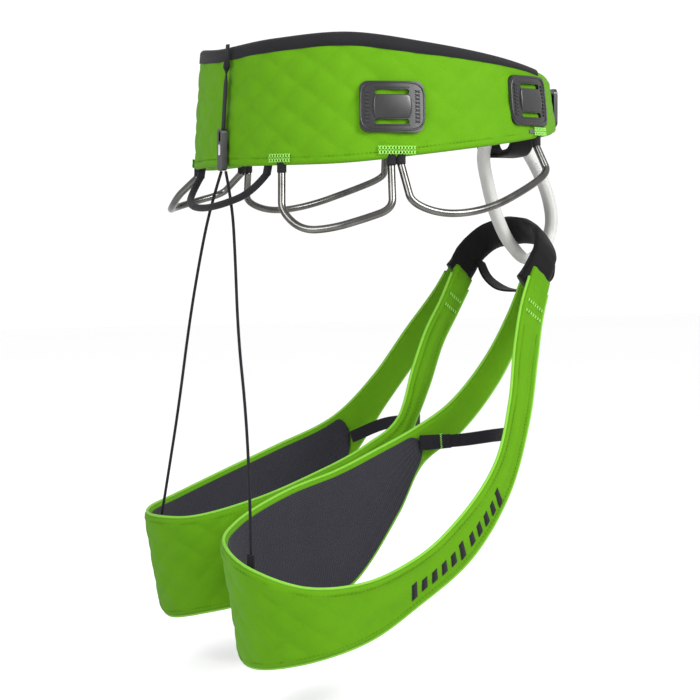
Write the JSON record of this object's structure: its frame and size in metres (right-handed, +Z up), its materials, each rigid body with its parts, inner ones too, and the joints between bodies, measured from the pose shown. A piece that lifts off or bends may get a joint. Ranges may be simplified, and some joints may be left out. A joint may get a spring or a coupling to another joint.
{
  "type": "climbing harness",
  "caption": "Sport climbing harness: padded waist belt with gear loops and clipper slots, belay loop, lower tie-in yoke and padded leg loops held by rear risers.",
  "frame": {"origin": "centre of the waist opening at the belt's mid height", "axes": "+Z up along the wearer's spine, -Y the way the wearer faces, +X the wearer's left"},
  "size_m": [0.3317, 0.3565, 0.4692],
  "materials": {
    "green_fabric": "woven, quilted, slight sheen",
    "load_foam": "foam and load webbing, hidden",
    "mesh_liner": "matte air mesh",
    "black_webbing": "woven polyamide",
    "black_plastic": "moulded, satin",
    "belay_webbing": "white woven webbing",
    "gear_tube": "grey metallic moulded tube",
    "buckle_metal": "black anodised",
    "elastic": "knitted elastic",
    "tack_thread": "light green thread"
  },
  "bodies": {
    "waistbelt": {"waistbelt_core": "load_foam", "waistbelt_shell": "green_fabric", "waistbelt_liner": "mesh_liner", "belt_top_binding": "black_webbing", "front_webbing_left": "black_webbing", "front_webbing_right": "black_webbing", "webbing_tail": "black_webbing", "webbing_keeper": "elastic", "buckle_frame": "buckle_metal", "upper_tie_in_loop": "black_webbing", "tie_in_guard": "black_plastic", "yoke_sleeve": "black_webbing", "yoke_bridge": "black_webbing", "clipper_plate_side_right": "black_plastic", "clipper_plate_side_left": "black_plastic", "clipper_plate_front_right": "black_plastic", "clipper_plate_front_left": "black_plastic", "bar_tacks": "tack_thread", "riser_strap": "black_webbing", "riser_clip": "black_plastic", "riser_cord_right": "elastic", "riser_cord_left": "elastic"},
    "buckle_slider": {"buckle_slider": "buckle_metal"},
    "belay_loop": {"belay_loop": "belay_webbing"},
    "haul_loop": {"haul_loop": "black_webbing"},
    "leg_loop_right": {"leg_core_right": "load_foam", "leg_shell_right": "green_fabric", "leg_liner_right": "mesh_liner", "leg_elastic_right": "elastic", "elastic_tab_right": "elastic", "riser_anchor_right": "black_webbing"},
    "gear_loop_rear_right": {"gear_loop_rear_right": "gear_tube"},
    "gear_loop_front_right": {"gear_loop_front_right": "gear_tube"},
    "leg_loop_left": {"leg_core_left": "load_foam", "leg_shell_left": "green_fabric", "leg_liner_left": "mesh_liner", "leg_elastic_left": "elastic", "elastic_tab_left": "elastic", "riser_anchor_left": "black_webbing"},
    "gear_loop_rear_left": {"gear_loop_rear_left": "gear_tube"},
    "gear_loop_front_left": {"gear_loop_front_left": "gear_tube"}
  },
  "joints": [
    {"name": "leg_right_swing", "type": "hinge", "parent": "waistbelt", "child": "leg_loop_right", "pos_m": [-0.06, -0.118, -0.139], "axis": [1, 0, 0], "range_deg": [0, 25], "deforming": ["riser_cord_right"]},
    {"name": "leg_left_swing", "type": "hinge", "parent": "waistbelt", "child": "leg_loop_left", "pos_m": [0.06, -0.118, -0.139], "axis": [1, 0, 0], "range_deg": [0, 25], "deforming": ["riser_cord_left"]},
    {"name": "gear_loop_rear_right_swing", "type": "hinge", "parent": "waistbelt", "child": "gear_loop_rear_right", "pos_m": [-0.10142, 0.08952, -0.05625], "axis": [0.6342, 0.7708, -0.0604], "range_deg": [-10, 60], "stiffness_Nm_per_rad": 0.08},
    {"name": "gear_loop_rear_left_swing", "type": "hinge", "parent": "waistbelt", "child": "gear_loop_rear_left", "pos_m": [0.10142, 0.08952, -0.05625], "axis": [0.6342, -0.7708, 0.0604], "range_deg": [-45, 25], "stiffness_Nm_per_rad": 0.08},
    {"name": "gear_loop_front_right_swing", "type": "hinge", "parent": "waistbelt", "child": "gear_loop_front_right", "pos_m": [-0.12464, -0.01306, -0.04478], "axis": [-0.0864, 0.9882, -0.1267], "range_deg": [-10, 60], "stiffness_Nm_per_rad": 0.08},
    {"name": "gear_loop_front_left_swing", "type": "hinge", "parent": "waistbelt", "child": "gear_loop_front_left", "pos_m": [0.12464, -0.01306, -0.04478], "axis": [-0.0864, -0.9882, 0.1267], "range_deg": [-10, 60], "stiffness_Nm_per_rad": 0.08},
    {"name": "haul_loop_swing", "type": "hinge", "parent": "waistbelt", "child": "haul_loop", "pos_m": [0, 0.126, -0.059], "axis": [1, 0, 0], "range_deg": [0, 60]},
    {"name": "belay_loop_swivel", "type": "hinge", "parent": "waistbelt", "child": "belay_loop", "pos_m": [0, -0.1225, -0.03], "axis": [0, -0.2547, -0.967], "range_deg": [-12, 12]},
    {"name": "buckle_slider_tilt", "type": "hinge", "parent": "waistbelt", "child": "buckle_slider", "pos_m": [-0.05517, -0.13688, -0.0035], "axis": [0, 0, -1], "range_deg": [0, 35]}
  ]
}
